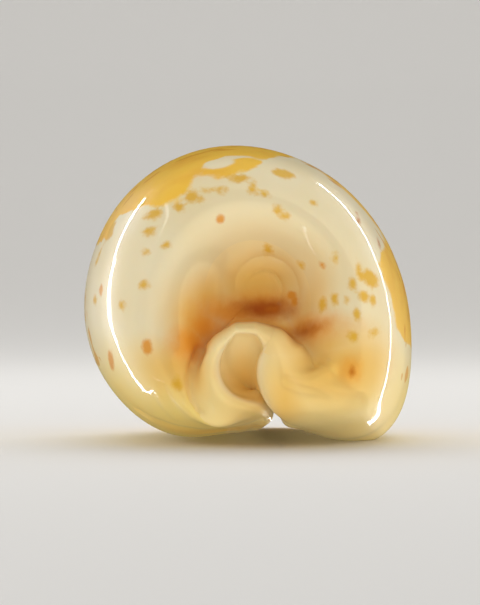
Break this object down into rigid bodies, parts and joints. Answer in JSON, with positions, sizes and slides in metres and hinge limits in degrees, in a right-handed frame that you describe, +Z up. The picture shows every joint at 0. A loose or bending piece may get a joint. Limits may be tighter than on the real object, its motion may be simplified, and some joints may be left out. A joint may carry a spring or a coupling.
{
  "type": "cowrie shell",
  "caption": "Glossy inflated cowrie shell, cream blotched with apricot, resting on its base, with a slit between two rolled lips, fine teeth and a sunken spire",
  "frame": {"origin": "Centre of the bounding box in X and Y, on the plane the base rests on", "axes": "+X to the labral lip's side, +Y from the spire (posterior) end to the canal (anterior) end, +Z up through the back"},
  "size_m": [0.0604, 0.0856, 0.0543],
  "materials": {
    "porcelain_shell": "glossy natural shell enamel, cream with apricot blotches"
  },
  "bodies": {
    "root": {"cowrie_shell": "porcelain_shell"}
  },
  "joints": []
}
